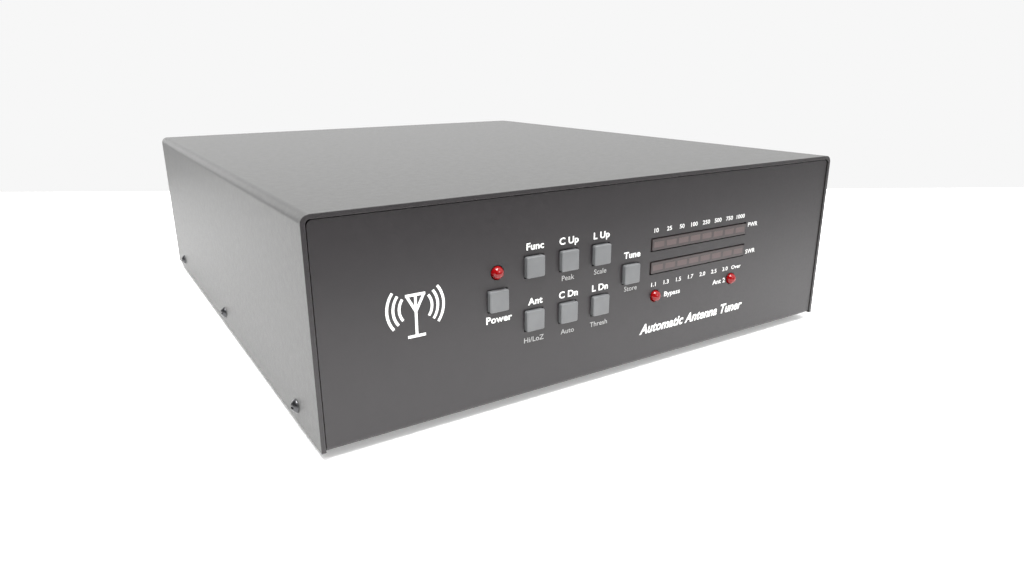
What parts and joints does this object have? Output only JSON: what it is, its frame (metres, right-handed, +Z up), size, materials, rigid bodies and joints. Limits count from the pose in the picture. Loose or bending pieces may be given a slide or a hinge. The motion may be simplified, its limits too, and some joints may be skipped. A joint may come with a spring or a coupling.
{
  "type": "antenna tuner",
  "caption": "Desk-top automatic antenna tuner in a sheet-metal case, with front push buttons, bar meters and lamps, and rear coaxial sockets, jacks and ground terminal.",
  "frame": {"origin": "centre of the overall footprint, lamp domes and rear stud included, on the surface the feet stand on", "axes": "+Z up, -Y out of the front panel, +Y out of the rear panel, +X to the right as seen from the front"},
  "size_m": [0.284, 0.3416, 0.0905],
  "materials": {
    "case_paint": "satin",
    "panel_paint": "satin",
    "black_steel": "satin",
    "bright_steel": "satin",
    "rubber": "matte",
    "button_plastic": "satin",
    "black_plastic": "satin",
    "board_laminate": "satin",
    "red_lens": "gloss",
    "meter_window": "gloss",
    "meter_bar": "satin",
    "tinned_wire": "satin",
    "nickel_brass": "satin",
    "gilt_brass": "polished",
    "white_insulator": "satin",
    "grey_cable": "satin",
    "relay_case": "satin",
    "iron_powder": "satin",
    "enamelled_copper": "gloss",
    "capacitor_coat": "gloss",
    "ferrite": "matte",
    "lead_insulation": "satin"
  },
  "bodies": {
    "case": {"cover": "case_paint", "base_chassis": "case_paint", "front_panel": "panel_paint", "rear_panel": "panel_paint", "cover_screws": "black_steel", "rubber_feet": "rubber", "front_panel_fasteners": "bright_steel", "rear_panel_screws": "black_steel", "switch_housings": "black_plastic", "front_board": "board_laminate", "power_lamp": "red_lens", "bypass_lamp": "red_lens", "antenna_lamp": "red_lens", "lamp_leads": "tinned_wire", "meter_housings": "black_plastic", "power_meter_bars": "meter_bar", "swr_meter_bars": "meter_bar", "power_meter_window": "meter_window", "swr_meter_window": "meter_window", "ribbon_cable": "grey_cable", "antenna_1_socket": "nickel_brass", "antenna_2_socket": "nickel_brass", "transceiver_socket": "nickel_brass", "socket_insulators": "white_insulator", "centre_contacts": "gilt_brass", "socket_screws": "bright_steel", "ground_stud": "bright_steel", "ground_nut": "bright_steel", "dc_jack": "black_plastic", "meter_jack": "black_plastic", "radio_jack": "black_plastic", "jack_nuts": "bright_steel", "main_board": "board_laminate", "board_standoffs": "nickel_brass", "board_screws": "bright_steel", "tuning_relays": "relay_case", "toroid_cores": "iron_powder", "toroid_windings": "enamelled_copper", "tuning_capacitors": "capacitor_coat", "directional_coupler": "ferrite", "rf_leads": "lead_insulation", "control_parts": "relay_case"},
    "power_key": {"power_button": "button_plastic", "power_plunger": "black_plastic"},
    "function_key": {"function_button": "button_plastic", "function_plunger": "black_plastic"},
    "antenna_key": {"antenna_button": "button_plastic", "antenna_plunger": "black_plastic"},
    "capacitance_up_key": {"capacitance_up_button": "button_plastic", "capacitance_up_plunger": "black_plastic"},
    "capacitance_down_key": {"capacitance_down_button": "button_plastic", "capacitance_down_plunger": "black_plastic"},
    "inductance_up_key": {"inductance_up_button": "button_plastic", "inductance_up_plunger": "black_plastic"},
    "inductance_down_key": {"inductance_down_button": "button_plastic", "inductance_down_plunger": "black_plastic"},
    "tune_key": {"tune_button": "button_plastic", "tune_plunger": "black_plastic"},
    "ground_washer": {"ground_washer": "bright_steel"},
    "ground_wing_nut": {"ground_wing_nut": "bright_steel"}
  },
  "joints": [
    {"name": "power_press", "type": "slide", "parent": "case", "child": "power_key", "axis": [0, 1, 0], "range_m": [0, 0.0005], "stiffness_N_per_m": 500, "springref_m": -0.002},
    {"name": "function_press", "type": "slide", "parent": "case", "child": "function_key", "axis": [0, 1, 0], "range_m": [0, 0.0005], "stiffness_N_per_m": 500, "springref_m": -0.002},
    {"name": "antenna_press", "type": "slide", "parent": "case", "child": "antenna_key", "axis": [0, 1, 0], "range_m": [0, 0.0005], "stiffness_N_per_m": 500, "springref_m": -0.002},
    {"name": "capacitance_up_press", "type": "slide", "parent": "case", "child": "capacitance_up_key", "axis": [0, 1, 0], "range_m": [0, 0.0005], "stiffness_N_per_m": 500, "springref_m": -0.002},
    {"name": "capacitance_down_press", "type": "slide", "parent": "case", "child": "capacitance_down_key", "axis": [0, 1, 0], "range_m": [0, 0.0005], "stiffness_N_per_m": 500, "springref_m": -0.002},
    {"name": "inductance_up_press", "type": "slide", "parent": "case", "child": "inductance_up_key", "axis": [0, 1, 0], "range_m": [0, 0.0005], "stiffness_N_per_m": 500, "springref_m": -0.002},
    {"name": "inductance_down_press", "type": "slide", "parent": "case", "child": "inductance_down_key", "axis": [0, 1, 0], "range_m": [0, 0.0005], "stiffness_N_per_m": 500, "springref_m": -0.002},
    {"name": "tune_press", "type": "slide", "parent": "case", "child": "tune_key", "axis": [0, 1, 0], "range_m": [0, 0.0005], "stiffness_N_per_m": 500, "springref_m": -0.002},
    {"name": "ground_washer_slide", "type": "slide", "parent": "case", "child": "ground_washer", "axis": [0, 1, 0], "range_m": [0, 0.004]},
    {"name": "ground_wing_nut_turn", "type": "hinge", "parent": "ground_washer", "child": "ground_wing_nut", "pos_m": [0.116, 0.1608, 0.0295], "axis": [0, 1, 0], "range_deg": [0, 1440]}
  ],
  "couplings": [
    {"joint": "ground_wing_nut_turn", "follows": "ground_washer_slide", "rad_per_m": 6283.2}
  ]
}
